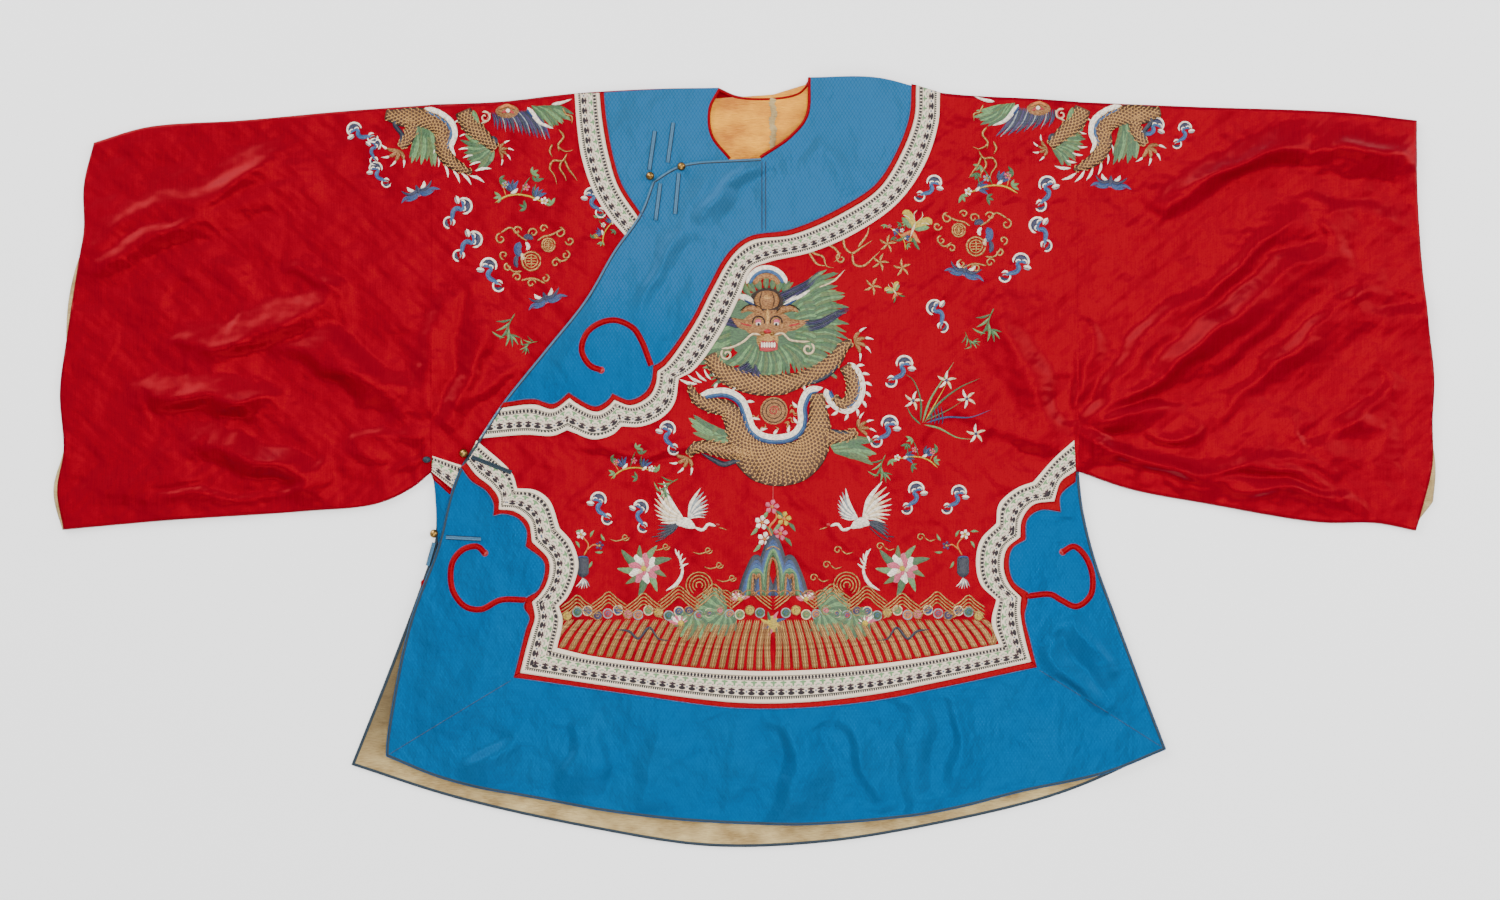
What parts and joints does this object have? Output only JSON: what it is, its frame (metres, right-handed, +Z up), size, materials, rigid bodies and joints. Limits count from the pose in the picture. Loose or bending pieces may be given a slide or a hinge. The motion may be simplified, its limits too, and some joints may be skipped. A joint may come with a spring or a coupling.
{
  "type": "embroidered silk robe",
  "caption": "Wide-sleeved, side-fastening lined silk jacket-robe laid flat with its front up, with blue borders and woven ribbon trim.",
  "frame": {"origin": "middle of the footprint, on the surface that the robe lies on", "axes": "+Z up, away from that surface; +X from the left cuff to the right cuff as seen from above; +Y from the hem to the shoulders"},
  "size_m": [1.4982, 0.835, 0.0186],
  "materials": {
    "satin_red": "woven red silk satin, glossy along its folds",
    "satin_band": "narrow bias bands of darker red satin",
    "silk_blue": "blue damask silk, faded at the yoke",
    "ribbon": "jacquard woven ribbon, cream ground",
    "lining": "thin plain-weave silk lining, worn",
    "binding": "dark blue satin binding and button strips",
    "brass": "cast brass ball, tarnished"
  },
  "bodies": {
    "root": {"back_left": "satin_red", "back_right": "satin_red", "sleeve_left": "satin_red", "sleeve_right": "satin_red", "front_under": "satin_red", "front_outer": "satin_red", "lining_cuff_left": "lining", "lining_cuff_right": "lining", "lining_neck_left": "lining", "lining_neck_right": "lining", "lining_hem": "lining", "yoke_left": "silk_blue", "yoke_right": "silk_blue", "border_flap": "silk_blue", "border_left": "silk_blue", "border_hem": "silk_blue", "border_right": "silk_blue", "border_under": "silk_blue", "band_yoke_left": "satin_band", "band_yoke_right": "satin_band", "band_left": "satin_band", "band_right": "satin_band", "band_hem": "satin_band", "band_under": "satin_band", "scroll_flap": "satin_band", "scroll_left": "satin_band", "scroll_right": "satin_band", "binding_neck_left": "satin_band", "binding_neck_right": "satin_band", "binding_neck_back": "satin_band", "tack_slit": "satin_band", "ribbon_yoke_left": "ribbon", "ribbon_yoke_right": "ribbon", "ribbon_left": "ribbon", "ribbon_hem": "ribbon", "ribbon_right": "ribbon", "ribbon_under": "ribbon", "binding_back": "binding", "binding_front": "binding", "binding_flap": "binding", "strip_neck_left_outer": "binding", "strip_neck_left_inner": "binding", "strip_flap_outer": "binding", "strip_flap_inner": "binding", "strip_side": "binding", "strip_waist": "binding", "strip_slit": "binding", "knot_underarm": "binding", "button_neck": "brass", "button_flap": "brass", "button_side": "brass", "button_waist": "brass"}
  },
  "joints": []
}
